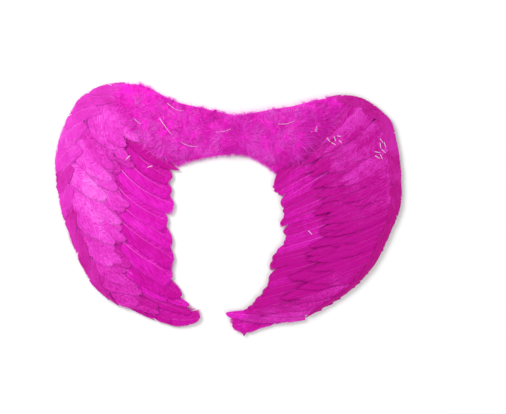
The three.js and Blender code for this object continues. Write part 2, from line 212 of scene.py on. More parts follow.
def spot(ride, reach):
    """Places on the wings. ride counts stations from the left tip, and reach runs from 0 at the
    rim to 1 at the inner edge."""
    ride, reach = np.broadcast_arrays(np.asarray(ride, float), np.asarray(reach, float))
    ends = curve_through(ribbon, np.clip(ride, 0.0, len(ribbon) - 1.0))
    rim, edge = ends[..., :2], ends[..., 2:]
    chord = edge - rim
    way = np.where(ride < BRIDGE, -1.0, 1.0)
    bow = np.where(ride < BRIDGE, SIDES["left"]["bow"], SIDES["right"]["bow"])
    bow = bow * np.minimum(1.0, np.abs(ride - BRIDGE) / STRAIGHT_STATIONS)
    swell = bow * 4 * reach * (1 - reach)
    return np.stack(
        [
            rim[..., 0] + chord[..., 0] * reach - way * chord[..., 1] * swell,
            rim[..., 1] + chord[..., 1] * reach + way * chord[..., 0] * swell,
        ],
        axis=-1,
    )


def wing_spot(side, out, reach):
    """The same, counted from the bridge along one wing"""
    return spot(BRIDGE + side["way"] * np.asarray(out, float), reach)


def add_range(tree, value, low, high, to_low=0.0, to_high=1.0):
    """A value stretched from one range to another, held at its ends"""
    span = add_node(tree, "ShaderNodeMapRange")
    tree.links.new(value, span.inputs["Value"])
    span.inputs["From Min"].default_value = low
    span.inputs["From Max"].default_value = high
    span.inputs["To Min"].default_value = to_low
    span.inputs["To Max"].default_value = to_high
    return span.outputs["Result"]


def feed(tree, socket, value):
    """Gives a socket a number, a colour, or what another socket puts out"""
    if isinstance(value, bpy.types.NodeSocket):
        tree.links.new(value, socket)
    elif isinstance(value, tuple):
        socket.default_value = (*value, 1.0)
    else:
        socket.default_value = value


def add_mix(tree, factor, first, second):
    """Two colours mixed by a factor"""
    mix = add_node(tree, "ShaderNodeMix", data_type="RGBA")
    for label, value in (("Factor", factor), ("A", first), ("B", second)):
        feed(tree, mix.inputs[label], value)
    return mix.outputs["Result"]


board_material, board_tree, board_shader = new_material("dyed_card", 0.86)
board_place = add_node(board_tree, "ShaderNodeTexCoord").outputs["Object"]
board_cloud = add_range(board_tree, add_noise(board_tree, board_place, 26.0, 5.0), 0.3, 0.7)
board_dye = add_mix(board_tree, board_cloud, (0.42, 0.012, 0.24), (0.60, 0.03, 0.38))
board_tree.links.new(board_dye, board_shader.inputs["Base Color"])
board_fibre = add_noise(board_tree, board_place, 1400.0, 3.0)
add_bump(board_tree, board_shader, board_fibre, 0.0002, 0.5)
board_object = bpy.data.objects[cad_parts["backing_board"].name]
board_object.data.materials.clear()
board_object.data.materials.append(board_material)


# Flight feathers. The long glossy feathers that sweep from the middle of each wing to its inner
# edge. Each is a quill with two vanes of zipped barbs, which split apart here and there. Their
# roots are glued to the card, and each one lies over the next towards the wing tip.
MM = 0.001
LAYER_BASE = 3.7 * MM
NEXT_CLIMB = 1.3 * MM
ROW_SPACING = 0.12
OVERLAP_HALF = 0.62
RUFF_CLEARANCE = 0.05


def new_growth():
    """An empty heap of points and faces that become one mesh"""
    return {"points": [], "shades": [], "corners": [], "sides": [], "slots": [], "rims": [], "count": 0}


def heap(growth, points, shades, faces, slot, rim=False):
    """Puts points and faces with the same number of corners on the heap"""
    faces = np.asarray(faces)
    growth["corners"].append((faces + growth["count"]).ravel())
    growth["sides"].append(np.full(len(faces), faces.shape[1]))
    growth["slots"].append(np.full(len(faces), slot))
    growth["rims"].append(np.full(len(faces), rim))
    if points is not None:
        growth["points"].append(points.reshape(-1, 3))
        growth["shades"].append(shades.reshape(-1, 3))


def heap_sheet(growth, top, bottom, shades, filled, upside_down):
    """A thin sheet with two faces and a sharp rim, from two grids of points and the filled cells"""
    rows, columns = filled.shape[0] + 1, filled.shape[1] + 1
    grid = np.arange(rows * columns).reshape(rows, columns)
    low = grid + rows * columns
    over = np.stack([grid[:-1, :-1], grid[1:, :-1], grid[1:, 1:], grid[:-1, 1:]], axis=-1)[filled]
    under = np.stack([low[:-1, :-1], low[:-1, 1:], low[1:, 1:], low[1:, :-1]], axis=-1)[filled]
    walls = []
    framed = np.pad(filled, 1)
    for before, here, a, b in (
        (framed[:-1, 1:-1], framed[1:, 1:-1], grid[:, :-1], grid[:, 1:]),
        (framed[1:-1, 1:], framed[1:-1, :-1], grid[:-1, :], grid[1:, :]),
    ):
        for bare, full, first, second in ((before, here, a, b), (here, before, b, a)):
            first, second = first[full & ~bare], second[full & ~bare]
            walls.append(np.stack([first, second, second + low[0, 0], first + low[0, 0]], axis=-1))
    faces = [np.concatenate([over, under]), np.concatenate(walls)]
    if upside_down:
        faces = [quads[:, ::-1] for quads in faces]
    points = np.concatenate([top.reshape(-1, 3), bottom.reshape(-1, 3)])
    heap(growth, points, np.concatenate([shades.reshape(-1, 3)] * 2), faces[0], 0)
    heap(growth, None, None, faces[1], 0, rim=True)
    growth["count"] += len(points)


def grown_piece(name, growth, materials, replaced):
    """One joined mesh from the heap, which stands for the nodes that it replaces"""
    used, corners = np.unique(np.concatenate(growth["corners"]), return_inverse=True)
    points = np.concatenate(growth["points"])[used]
    shades = np.concatenate(growth["shades"])[used]
    sides = np.concatenate(growth["sides"])
    mesh = bpy.data.meshes.new(name)
    mesh.vertices.add(len(points))
    mesh.vertices.foreach_set("co", points.astype(np.float32).ravel())
    mesh.loops.add(len(corners))
    mesh.loops.foreach_set("vertex_index", corners.astype(np.int32))
    mesh.polygons.add(len(sides))
    mesh.polygons.foreach_set("loop_start", (np.cumsum(sides) - sides).astype(np.int32))
    mesh.polygons.foreach_set("material_index", np.concatenate(growth["slots"]).astype(np.int32))
    mesh.update(calc_edges=True)
    mesh.shade_smooth()
    loop_edges = np.empty(len(corners), np.int32)
    mesh.loops.foreach_get("edge_index", loop_edges)
    sharp = np.zeros(len(mesh.edges), bool)
    sharp[loop_edges[np.repeat(np.concatenate(growth["rims"]), sides)]] = True
    mesh.attributes.new("sharp_edge", "BOOLEAN", "EDGE").data.foreach_set("value", sharp)
    shade = mesh.attributes.new("shade", "FLOAT_VECTOR", "POINT")
    shade.data.foreach_set("vector", shades.astype(np.float32).ravel())
    for material in materials:
        mesh.materials.append(material)
    piece = bpy.data.objects.new(name, mesh)
    bpy.context.scene.collection.objects.link(piece)
    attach(piece, "root")
    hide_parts(*replaced)
    return piece


def unit(vectors):
    """Vectors of length one"""
    return vectors / np.maximum(np.linalg.norm(vectors, axis=-1, keepdims=True), 1e-9)


def square_to(headings):
    """The level way square to each heading"""
    turned = np.zeros_like(headings)
    turned[:, 0] = -headings[:, 1]
    turned[:, 1] = headings[:, 0]
    return turned


def raised(flat, height):
    """Places on the wings, with their heights"""
    return np.concatenate([flat, np.broadcast_to(height, flat.shape[:-1])[..., None]], axis=-1)


def metres_along(line):
    """How far along a line each of its points lies"""
    return np.concatenate([[0.0], np.cumsum(np.linalg.norm(np.diff(line, axis=0), axis=1))])


def vane_width(u, root, full, narrow, point):
    """Half width of a vane along the feather, as a share of its widest. point runs from 0.5 for a
    round tip up to 1 for a spiky one."""
    swell = root + (1.0 - root) * np.sin(np.clip(u / full, 0.0, 1.0) * math.pi / 2)
    past = np.clip((u - narrow) / (1.0 - narrow), 0.0, 1.0)
    return swell * (1.0 - past**2.3) ** point


def slow_wave(rng, count, turns):
    """A smooth wander from -1 to 1 over a row of barbs"""
    x = np.linspace(0.0, 1.0, count)
    parts = [
        rng.uniform(0.4, 1.0) * np.sin(2 * math.pi * (turns * k * x + rng.uniform()))
        for k in (0.5, 1.0, 1.7)
    ]
    return sum(parts) / len(parts)


STRAND_ROLL = 0.7
STRAND_TAPER = 0.8
STRAND_SHADE = 20.0 * MM


def grow_strands(growth, rng, line, half, tone):
    """Loose ends of barbs and down: tapering ribbons along lines of points"""
    strands, count = line.shape[:2]
    sideways = square_to(unit(line[:, -1] - line[:, 0]))
    roll = rng.uniform(-STRAND_ROLL, STRAND_ROLL, strands)[:, None]
    sideways = sideways * np.cos(roll) + np.array([0.0, 0.0, 1.0]) * np.sin(roll)
    t = np.linspace(0.0, 1.0, count)
    pair = sideways[:, None, :] * (half * (1.0 - STRAND_TAPER * t))[None, :, None]
    points = np.stack([line - pair, line + pair], axis=2)
    shades = np.zeros_like(points)
    shades[..., 0] = (t * STRAND_SHADE)[None, :, None]
    shades[..., 2] = tone[..., None]
    grid = np.arange(strands * count * 2).reshape(strands, count, 2)
    quads = np.stack([grid[:, :-1, 0], grid[:, 1:, 0], grid[:, 1:, 1], grid[:, :-1, 1]], axis=-1)
    heap(growth, points, shades, quads.reshape(-1, 4), 0)
    growth["count"] += grid.size


SQUARE_BELOW = 0.45
SQUARE_OVER = 0.35


def square_up(shaft, across, spacing, least):
    """The way across a feather turned square to the shaft where the two run close together, as at
    the wing tips, with the spacing measured that way and never under the least"""
    along = unit(np.gradient(shaft, axis=0))
    lean = along[:, 0] * across[:, 1] - along[:, 1] * across[:, 0]
    square = square_to(along) * np.sign(lean)[:, None]
    keep = np.clip((np.abs(lean) - SQUARE_BELOW) / SQUARE_OVER, 0.0, 1.0)
    turned = unit(square * (1.0 - keep)[:, None] + across * keep[:, None])
    return turned, np.maximum(spacing * (keep + (1.0 - keep) * np.abs(lean)), least)


LOOSE_FROM = -0.35
LOOSE_SPREAD = 0.45
LOOSE_SAG = 0.12
LOOSE_PALER = 0.12
LOOSE_POINTS = 4
LOWEST_BARB = 1.5 * MM


def grow_loose_barbs(growth, rng, points, tone, look):
    """Loose barb ends that stand out of the edge of a vane, from its root to its tip"""
    picked = rng.choice(np.arange(look["barbs"] // 3, look["barbs"]), look["loose"])
    heading = unit(points[picked, -1] - points[picked, -3])
    spread = rng.standard_normal((look["loose"], 3)) * (1.0, 1.0, 0.3)
    heading = unit(heading + LOOSE_SPREAD * spread)
    reach = look["loose_length"] * rng.uniform(0.4, 1.0, look["loose"])
    share = np.linspace(LOOSE_FROM, 1.0, LOOSE_POINTS)
    line = points[picked, -1][:, None] + heading[:, None] * (reach[:, None] * share)[..., None]
    line[..., 2] -= reach[:, None] * LOOSE_SAG * share**2
    line[..., 2] = np.maximum(line[..., 2], LOWEST_BARB)
    pale = np.repeat(tone[picked][:, None] + LOOSE_PALER, LOOSE_POINTS, axis=1)
    grow_strands(growth, rng, line, look["loose_half"], pale)


VANE_THICK = 0.25 * MM
# Barbs stand closer towards the tip, sweep unevenly, and bend so far along and so far out
BARB_CROWDING = 1.2
SWEEP_UNEVEN = 0.12
BEND_ALONG = 0.42
BEND_OUT = 0.62
# How many barbs lean away from a split on each side of it
SPLIT_BARBS = 3.0


def grow_feather(growth, rng, shaft, across, spacing, look):
    """One feather on a shaft line: two vanes of barbs and a quill. across is the way from each
    feather to the next, and spacing how far apart they are. Shades hold the metres along the
    shaft, the share along the barb, and the tone."""
    metres = metres_along(shaft)
    length = metres[-1]
    along = unit(np.gradient(shaft, axis=0))
    across, spacing = square_up(shaft, across, spacing, look["least"])
    slope = look["climb"] / spacing
    barbs = look["barbs"]
    t = np.linspace(0.0, 1.0, look["steps"] + 1)
    u = 1.0 - (1.0 - np.linspace(0.0, 1.0, barbs)) ** BARB_CROWDING

    def at(line, where):
        return np.stack([np.interp(where, metres, line[:, k]) for k in range(3)], axis=-1)

    for hand, share in ((-1, look["near_share"]), (1, look["far_share"])):
        widest = np.interp(u, metres / length, share * spacing)
        narrow = look["near_narrow"] if hand < 0 else look["far_narrow"]
        width = widest * vane_width(u, look["root"], look["full"], narrow, look["point"])
        width *= 1.0 + look["wander"] * slow_wave(rng, barbs, 2.0)
        width *= rng.uniform(1.0 - look["fray"], 1.0, barbs)
        # Each barb leaves the quill and bends forward to its place on the outline
        sweep = look["sweep"] * (1.0 + SWEEP_UNEVEN * slow_wave(rng, barbs, 1.5))
        start = np.maximum.accumulate(np.clip(u * length - width * sweep, 0.0, None))
        bend = start + BEND_ALONG * (u * length - start)
        root = at(shaft, start)
        middle = at(shaft, bend) + at(across, bend) * (hand * BEND_OUT * width)[:, None]
        end = at(shaft, u * length) + at(across, u * length) * (hand * width)[:, None]
        # Where the vane has split, the barbs on both sides of the split lean apart
        cuts = rng.choice(np.arange(barbs // 4, barbs - 4), look["splits"], replace=False)
        zip_to = np.full(barbs - 1, look["steps"])
        for cut in cuts:
            apart = np.arange(barbs) - cut + 0.5
            push = look["gap"] * np.sign(apart) * np.exp(-np.abs(apart) / SPLIT_BARBS)
            end += at(along, u * length) * push[:, None]
            zip_to[cut - 1] = rng.integers(look["zip"], look["steps"])
        b = t[None, :, None]
        points = (1 - b) ** 2 * root[:, None] + 2 * b * (1 - b) * middle[:, None] + b**2 * end[:, None]
        away = width[:, None] * (2 * BEND_OUT * t * (1 - t) + t**2)[None, :]
        incline = np.interp(u, metres / length, slope)[:, None]
        points[..., 2] += hand * incline * away
        points[..., 2] -= look["camber"] * (away / widest.max()) ** 2
        ruffle = look["ruffle"] * slow_wave(rng, barbs, 2.5)
        points[..., 2] += ruffle[:, None] * (t**2)[None, :]
        points[..., 2] += look["nap"] * rng.standard_normal(barbs)[:, None] * t[None, :]
        shades = np.empty_like(points)
        shades[..., 0] = start[:, None]
        shades[..., 1] = hand * t[None, :]
        shades[..., 2] = look["tone"] + look["fade"] * (u[:, None] - 0.5)
        # Painted light: each vane is paler towards the ends of its barbs, as where light shines through
        # the thin edge.
        shades[..., 2] += look["painted_edge_light"] * t[None, :] ** 3
        filled = np.arange(look["steps"])[None, :] < zip_to[:, None]
        under = points - np.array([0.0, 0.0, VANE_THICK])
        heap_sheet(growth, points, under, shades, filled, hand * look["way"] > 0)
        grow_loose_barbs(growth, rng, points, shades[:, -1, 2], look)
    grow_quill(growth, shaft, across, metres, look)


QUILL_ANGLES = np.radians([0.0, 60.0, 120.0, 180.0, 270.0])
QUILL_ROUNDNESS = 0.8
QUILL_RAISE = 0.15


def grow_quill(growth, shaft, across, metres, look, slot=1):
    """The quill of a feather: a tapering rod along the shaft line, rounded on top"""
    picked = np.linspace(0, len(shaft) - 2, look["quill_steps"]).astype(int)
    radius = look["quill"] * (1.0 - look["taper"] * np.linspace(0.0, 1.0, len(picked)) ** 0.8)
    up = np.array([0.0, 0.0, 1.0])
    rings = shaft[picked][:, None] + radius[:, None, None] * (
        across[picked][:, None] * np.cos(QUILL_ANGLES)[None, :, None]
        + up[None, None] * (np.sin(QUILL_ANGLES)[None, :, None] * QUILL_ROUNDNESS + QUILL_RAISE)
    )
    count = len(QUILL_ANGLES)
    grid = np.arange(len(picked) * count).reshape(len(picked), count)
    turned = np.roll(grid, -1, axis=1)
    quads = np.stack([grid[:-1], turned[:-1], turned[1:], grid[1:]], axis=-1).reshape(-1, 4)
    shades = np.zeros_like(rings)
    shades[..., 0] = metres[picked][:, None]
    shades[..., 2] = look["tone"]
    heap(growth, rings, shades, quads, slot)
    heap(growth, None, None, [grid[0, ::-1], grid[-1]], slot)
    growth["count"] += grid.size


def new_group(name, inputs, outputs):
    """A shader effect that several materials share, with named inputs and outputs"""
    group = bpy.data.node_groups.new(name, "ShaderNodeTree")
    for label, kind, value in inputs:
        socket = group.interface.new_socket(label, in_out="INPUT", socket_type=kind)
        if value is not None:
            socket.default_value = value
    for label, kind in outputs:
        group.interface.new_socket(label, in_out="OUTPUT", socket_type=kind)
    return group, group.nodes.new("NodeGroupInput"), group.nodes.new("NodeGroupOutput")


def add_math(tree, operation, *values):
    """A value worked out from others, each a number or a socket"""
    node = add_node(tree, "ShaderNodeMath", operation=operation)
    for socket, value in zip(node.inputs, values):
        feed(tree, socket, value)
    return node.outputs[0]


def add_parts(tree, vector):
    """The three values of a vector"""
    parts = add_node(tree, "ShaderNodeSeparateXYZ")
    tree.links.new(vector, parts.inputs[0])
    return parts.outputs


def add_streaks(tree, parts, stretch, detail):
    """Noise stretched by a factor along each of three values"""
    joined = add_node(tree, "ShaderNodeCombineXYZ")
    for value, factor, socket in zip(parts, stretch, joined.inputs):
        tree.links.new(add_math(tree, "MULTIPLY", value, factor), socket)
    return add_noise(tree, joined.outputs[0], 1.0, detail)


def shade_of(tree):
    """The values that the mesh holds at each point"""
    return add_node(tree, "ShaderNodeAttribute", attribute_name="shade").outputs["Vector"]


# Barb lines: fine relief along the barbs, broader streaks where barbs cling together, which the dye paints
# partly as their own colour and partly as painted gloss and shade along the clinging barbs, and an edge
# where the barbs thin out
barb_group, barb_in, barb_out = new_group(
    "barb_lines",
    [("Shade", "NodeSocketVector", None)],
    [("Lines", "NodeSocketFloat"), ("Streaks", "NodeSocketFloat"), ("Fringe", "NodeSocketFloat")],
)
barb_parts = add_parts(barb_group, barb_in.outputs["Shade"])
barb_lines = add_streaks(barb_group, barb_parts, (2200.0, 1.6, 77.0), 1.0)
barb_streaks = add_streaks(barb_group, barb_parts, (330.0, 1.1, 131.0), 3.0)
barb_density = add_streaks(barb_group, barb_parts, (1100.0, 0.8, 57.0), 2.0)
barb_share = add_math(barb_group, "ABSOLUTE", barb_parts["Y"])
barb_thinning = add_range(barb_group, barb_share, 0.72, 1.0, 0.0, 0.6)
barb_cover = add_math(barb_group, "SUBTRACT", barb_density, barb_thinning)
for label, value, low, high in (
    ("Lines", barb_lines, 0.25, 0.75),
    ("Streaks", barb_streaks, 0.3, 0.7),
    ("Fringe", barb_cover, -0.12, 0.3),
):
    barb_group.links.new(add_range(barb_group, value, low, high), barb_out.inputs[label])

# Dye: how deep the colour has soaked in, feather by feather and from place to place, together with the
# painted shade and light that the tones carry and the painted gloss and shade in the streaks
dye_group, dye_in, dye_out = new_group(
    "dye",
    [
        ("Deep", "NodeSocketColor", None),
        ("Full", "NodeSocketColor", None),
        ("Pale", "NodeSocketColor", None),
        ("Shade", "NodeSocketVector", None),
        ("Streaks", "NodeSocketFloat", 0.5),
        ("Streak And Gloss Depth", "NodeSocketFloat", 0.2),
    ],
    [("Colour", "NodeSocketColor")],
)
CLOUD_DEPTH = 0.3

dye_tone = add_parts(dye_group, dye_in.outputs["Shade"])["Z"]
dye_place = add_node(dye_group, "ShaderNodeTexCoord").outputs["Object"]
dye_cloud = add_range(dye_group, add_noise(dye_group, dye_place, 30.0, 4.0), 0.25, 0.75, -0.5, 0.5)
dye_streak = add_range(dye_group, dye_in.outputs["Streaks"], 0.0, 1.0, -1.0, 1.0)
# The streaks are partly the barbs' own colour and partly painted gloss and shade along them.
dye_streak = add_math(dye_group, "MULTIPLY", dye_streak, dye_in.outputs["Streak And Gloss Depth"])
dye_total = add_math(dye_group, "MULTIPLY_ADD", dye_cloud, CLOUD_DEPTH, dye_tone)
dye_total = add_math(dye_group, "ADD", dye_total, dye_streak)
dye_low = add_range(dye_group, dye_total, 0.0, 0.5)
dye_high = add_range(dye_group, dye_total, 0.5, 1.0)
dye_colour = add_mix(dye_group, dye_low, dye_in.outputs["Deep"], dye_in.outputs["Full"])
dye_colour = add_mix(dye_group, dye_high, dye_colour, dye_in.outputs["Pale"])
dye_group.links.new(dye_colour, dye_out.inputs["Colour"])


def add_dye(tree, shader, deep, full, pale, streak_and_gloss_depth):
    """The dye on a material, which gives back its node"""
    dye = add_node(tree, "ShaderNodeGroup", node_tree=dye_group)
    for label, colour in (("Deep", deep), ("Full", full), ("Pale", pale)):
        dye.inputs[label].default_value = (*colour, 1.0)
    dye.inputs["Streak And Gloss Depth"].default_value = streak_and_gloss_depth
    tree.links.new(shade_of(tree), dye.inputs["Shade"])
    tree.links.new(dye.outputs["Colour"], shader.inputs["Base Color"])
    return dye


def set_sheen(shader, specular, weight, roughness, tint):
    """How much a surface shines, and the soft glow of its fuzz"""
    shader.inputs["Specular IOR Level"].default_value = specular
    shader.inputs["Sheen Weight"].default_value = weight
    shader.inputs["Sheen Roughness"].default_value = roughness
    shader.inputs["Sheen Tint"].default_value = (*tint, 1.0)


def vane_material(name, roughness, deep, full, pale, streak_and_gloss_depth, relief):
    """The finish of a vane: dyed barbs with a soft silky gloss"""
    material, tree, shader = new_material(name, roughness)
    lines = add_node(tree, "ShaderNodeGroup", node_tree=barb_group)
    tree.links.new(shade_of(tree), lines.inputs["Shade"])
    dye = add_dye(tree, shader, deep, full, pale, streak_and_gloss_depth)
    tree.links.new(lines.outputs["Streaks"], dye.inputs["Streaks"])
    tree.links.new(lines.outputs["Fringe"], shader.inputs["Alpha"])
    add_bump(tree, shader, lines.outputs["Lines"], relief, 0.6)
    set_sheen(shader, 0.08, 0.02, 0.45, (1.0, 0.35, 0.9))
    return material


def quill_material(name, pale, full, deep):
    """The finish of a quill: horn, paler than the vanes, and glossy"""
    material, tree, shader = new_material(name, 0.28)
    parts = add_parts(tree, shade_of(tree))
    fade = add_range(tree, parts["X"], 0.02, 0.09)
    dyed = add_range(tree, parts["Z"], 0.4, 0.1, 0.0, 0.85)
    horn = add_mix(tree, fade, pale, full)
    tree.links.new(add_mix(tree, dyed, horn, deep), shader.inputs["Base Color"])
    return material


flight_vane = vane_material(
    "flight_vane",
    0.42,
    (0.48, 0.0005, 0.26),
    (0.74, 0.011, 0.53),
    (0.89, 0.08, 0.74),
    0.32,
    0.00022,
)
flight_quill = quill_material(
    "flight_quill", (0.95, 0.45, 0.86), (0.91, 0.18, 0.72), (0.66, 0.03, 0.46)
)

FLIGHT_ROOT_REACH = 0.40
FLIGHT_TIP_LIFT = 2.5 * MM
# How pale each feather is, and how far it reaches past or short of the inner edge. The right wing's
# feathers are darker, partly a deeper dye and partly painted shade for the wing further from the key lamp.
FLIGHT_LOOKS = {
    "left": [
        (0.0, 0.0), (0.16, -0.01), (0.32, 0.01), (0.44, 0.02), (0.32, -0.02), (0.44, 0.0), (0.28, 0.02),
        (0.42, -0.01), (0.18, 0.01), (0.36, 0.0), (0.0, -0.08), (0.05, -0.4), (0.2, 0.02),
    ],
    "right": [
        (0.05, 0.03), (0.2, 0.05), (0.12, 0.05), (0.22, 0.04), (0.12, 0.02), (0.18, 0.02), (0.05, 0.0),
        (0.1, 0.03), (-0.04, 0.02), (0.0, 0.01), (-0.08, 0.01), (-0.05, 0.0), (0.1, -0.03), (0.3, 0.03),
        (0.42, 0.0),
    ],
}
# How many stations nearer the bridge the roots lie, and how soon a feather has come round
FLIGHT_LAG = {"left": 1.3, "right": 0.3}
# Feathers that root further out, and so many stations further back. The last ones make the lower
# outline of the wing tip, and the first on the left shows its whole length below the down.
OTHER_ROOTS = {
    "left": {1: (0.28, -0.6), 12: (0.25, 0.3), 13: (0.08, 0.9)},
    "right": {13: (0.25, 0.5), 14: (0.12, 1.3), 15: (0.05, 2.2)},
}
LAST_SPREAD = {"left": 1.8, "right": 1.5}
LAST_SHARES = {"left": (1.15, 0.5), "right": (0.7, 0.62)}
# How much broader the near vane is on feathers that fill out the inner edge above a wing tip
NEAR_BROADER = {"left": {10: 1.2, 11: 1.6, 12: 1.7}, "right": {}}
FLIGHT_TURN = 2.4
FLIGHT_SHORTER = 0.03
FLIGHT_QUILL = {"left": 0.75 * MM, "right": 0.5 * MM}
FLIGHT_UNEVEN = {"left": 0.04, "right": 0.2}
# How far a tip hooks towards the wing tip, on the first feather and on the last
FLIGHT_HOOK = {"left": (-0.2, 1.0), "right": (0.3, 0.1)}
LAST_HOOK = {"left": -0.1, "right": 0.3}
# On the right each lock is a pair of slender feathers, but for the last few
FLIGHT_PLUMES = {"left": 1, "right": 2}
BROAD_LAST = 3
FLIGHT_STRAY = {"left": (0.12, 0.15), "right": (0.3, 0.5)}
FLIGHT_TIP = {
    "left": {"near_narrow": 0.86, "far_narrow": 0.93, "point": 0.5},
    "right": {"near_narrow": 0.78, "far_narrow": 0.95, "point": 0.6},
}
FIRST_TIP = {
    "left": {"near_narrow": 0.5, "far_narrow": 0.7, "point": 0.9},
    "right": {"near_share": 1.3, "near_narrow": 0.9},
}
FLIGHT_SPREAD = {"left": 1.15, "right": 1.35}


def spread_feathers(side, count, start, stop):
    """Stations of the feathers of one row, from the ruff to the tip"""
    first = side["ruff_end"] + RUFF_CLEARANCE + start
    last = side["stations"] - 0.5 + stop
    pitch = (last - first) / (count - 1 + 2 * OVERLAP_HALF)
    return pitch, first + (OVERLAP_HALF + np.arange(count)) * pitch


HALF_STEP = 0.3


def station_step(side, out, reach):
    """The way and the distance from one station to the next at a place"""
    apart = wing_spot(side, out + HALF_STEP, reach) - wing_spot(side, out - HALF_STEP, reach)
    step = raised(apart / (2 * HALF_STEP), 0.0)
    return unit(step), np.linalg.norm(step, axis=-1)


FLIGHT_SHAFT_POINTS = 40
FLIGHT_FEATHER = {
    "barbs": 60, "steps": 5, "near_share": 0.7, "far_share": 0.82, "root": 0.5, "full": 0.4,
    "wander": 0.05, "fray": 0.03, "sweep": 1.7, "splits": 2, "zip": 3,
    "gap": 0.9 * MM, "camber": 1.1 * MM, "ruffle": 0.5 * MM, "nap": 0.04 * MM, "fade": -0.2,
    "painted_edge_light": 0.08, "loose": 10, "loose_length": 3.5 * MM, "loose_half": 0.14 * MM,
    "quill_steps": 18, "taper": 0.85, "least": 8.0 * MM,
}
for side_name, side in SIDES.items():
    looks = FLIGHT_LOOKS[side_name]
    pitch, outs = spread_feathers(side, len(looks), 0.0, 0.0)
    hooks = np.linspace(*FLIGHT_HOOK[side_name], len(looks))
    hooks[-1] = LAST_HOOK[side_name]
    for number, (out, hook, (tone, past)) in enumerate(zip(outs, hooks, looks), start=1):
        rng = np.random.default_rng(100 + number + 50 * side["way"])
        growth = new_growth()
        plumes = 1 if number > len(looks) - BROAD_LAST else FLIGHT_PLUMES[side_name]
        for apart in (np.arange(plumes) - (plumes - 1) / 2) / plumes:
            s = np.linspace(0.0, 1.0, FLIGHT_SHAFT_POINTS)
            root, back = OTHER_ROOTS[side_name].get(number, (FLIGHT_ROOT_REACH, 0.0))
            tip = 1.0 + past - (plumes - 1) * rng.uniform(0.0, FLIGHT_SHORTER)
            reach = root + (tip - root) * s
            shift, swing = (rng.uniform(-most, most) for most in FLIGHT_STRAY[side_name])
            stray = (shift + swing * s**2) / plumes + apart * pitch
            stray = stray - (FLIGHT_LAG[side_name] + back) * (1.0 - s) ** FLIGHT_TURN
            stray = stray + hook * rng.uniform(0.7, 1.2) * s**6
            height = LAYER_BASE + OVERLAP_HALF * NEXT_CLIMB + FLIGHT_TIP_LIFT * s**2
            shaft = raised(wing_spot(side, out + stray, reach), height)
            across, step = station_step(side, out + stray, reach)
            spacing = pitch / plumes * step * FLIGHT_SPREAD[side_name] * rng.uniform(0.95, 1.05)
            look = {**FLIGHT_FEATHER, "way": side["way"], **FLIGHT_TIP[side_name]}
            look["tone"] = tone + rng.uniform(-1.0, 1.0) * FLIGHT_UNEVEN[side_name]
            look["near_share"] *= NEAR_BROADER[side_name].get(number, 1.0)
            look["climb"] = NEXT_CLIMB / plumes
            look["quill"] = FLIGHT_QUILL[side_name]
            if number == 1:
                look.update(FIRST_TIP[side_name])
            if number == len(looks):
                spacing = spacing * LAST_SPREAD[side_name]
                near_share, far_share = LAST_SHARES[side_name]
                look.update(near_share=near_share, far_share=far_share, point=0.5)
            grow_feather(growth, rng, shaft, across, spacing, look)
        node = f"flight_feather_{side_name}_{number:02d}"
        grown_piece(
            node.replace("flight_feather", "flight_plume"),
            growth,
            [flight_vane, flight_quill],
            [node],
        )


# Covert rows. Three rows of shorter, softer feathers on each wing, glued like roof shingles over
# the roots of the flight feathers. Their tips are loose and fuzzy, and no two lie quite alike.
covert_vane = vane_material(
    "covert_vane",
    0.6,
    (0.48, 0.0005, 0.26),
    (0.78, 0.048, 0.60),
    (0.89, 0.25, 0.81),
    0.24,
    0.00026,
)
covert_quill = quill_material(
    "covert_quill", (0.88, 0.16, 0.74), (0.80, 0.05, 0.60), (0.55, 0.01, 0.34)
)
# Bare quill horn in near-white: partly the pale horn of cut ends and shafts, partly a painted glint where
# they catch the light.
bare_quill_and_glint = quill_material("bare_quill_and_glint", (0.97, 0.82, 0.93), (0.95, 0.66, 0.88), (0.9, 0.4, 0.75))

COVERT_ROWS = {
    "left": [
        {"root": 0.30, "length": 0.34, "count": 19, "start": 0.9, "deeper": 0.14},
        {"root": 0.17, "length": 0.42, "count": 18, "start": 0.2, "deeper": 0.05},
        {"root": 0.02, "length": 0.48, "count": 17, "start": -0.6, "deeper": 0.0},
    ],
    "right": [
        {"root": 0.34, "length": 0.42, "count": 30, "start": -0.6, "deeper": 0.10},
        {"root": 0.18, "length": 0.48, "count": 32, "start": -0.6, "deeper": 0.04},
        {"root": 0.02, "length": 0.50, "count": 33, "start": -0.6, "deeper": 0.0},
    ],
}
COVERT_TIP_STATIONS = 1.1
COVERT_SHAFT_POINTS = 24
COVERT_CLIMB = 1.15 * MM
COVERT_TIP_DROP = 2.0 * MM
COVERT_LAG = {"left": 0.5, "right": 0.15}
COVERT_BASE = 2.3 * MM
COVERT_FEATHER = {
    "barbs": 38, "steps": 4, "near_share": 0.8, "far_share": 0.95, "full": 0.5,
    "wander": 0.12, "fray": 0.12, "sweep": 1.7, "splits": 3, "zip": 3,
    "gap": 0.6 * MM, "camber": 1.2 * MM, "ruffle": 0.5 * MM, "nap": 0.06 * MM,
    "painted_edge_light": 0.06, "loose": 24, "loose_length": 6.5 * MM, "loose_half": 0.16 * MM,
    "quill": 0.35 * MM, "quill_steps": 10, "taper": 0.85, "climb": 0.5 * MM, "least": 5.0 * MM,
}
# Each wing's rows are dyed to a tone; the right's darker tone is partly a deeper dye and partly painted
# shade for the wing further from the key lamp.
COVERT_DYE_AND_SIDE_SHADE = {"left": 0.41, "right": 0.05}
COVERT_UNEVEN = {"left": 0.05, "right": 0.07}
TIP_PALER = {"left": 0.0, "right": 0.6}
TIP_FROM = 0.75
COVERT_SHAPE = {
    "left": {"root": 0.48, "near_narrow": 0.35, "far_narrow": 0.5, "point": 0.55},
    "right": {"root": 0.62, "near_narrow": 0.25, "far_narrow": 0.4, "point": 0.8},
}
# Places where the tips have bleached: stations from the bridge, reach, and how far it spreads,
# with the whole reach counted as so many stations
BLEACHED = {"left": [(9.7, 0.5, 1.4), (13.0, 0.53, 1.0)], "right": []}
BLEACH = 0.24
REACH_STATIONS = 8.0
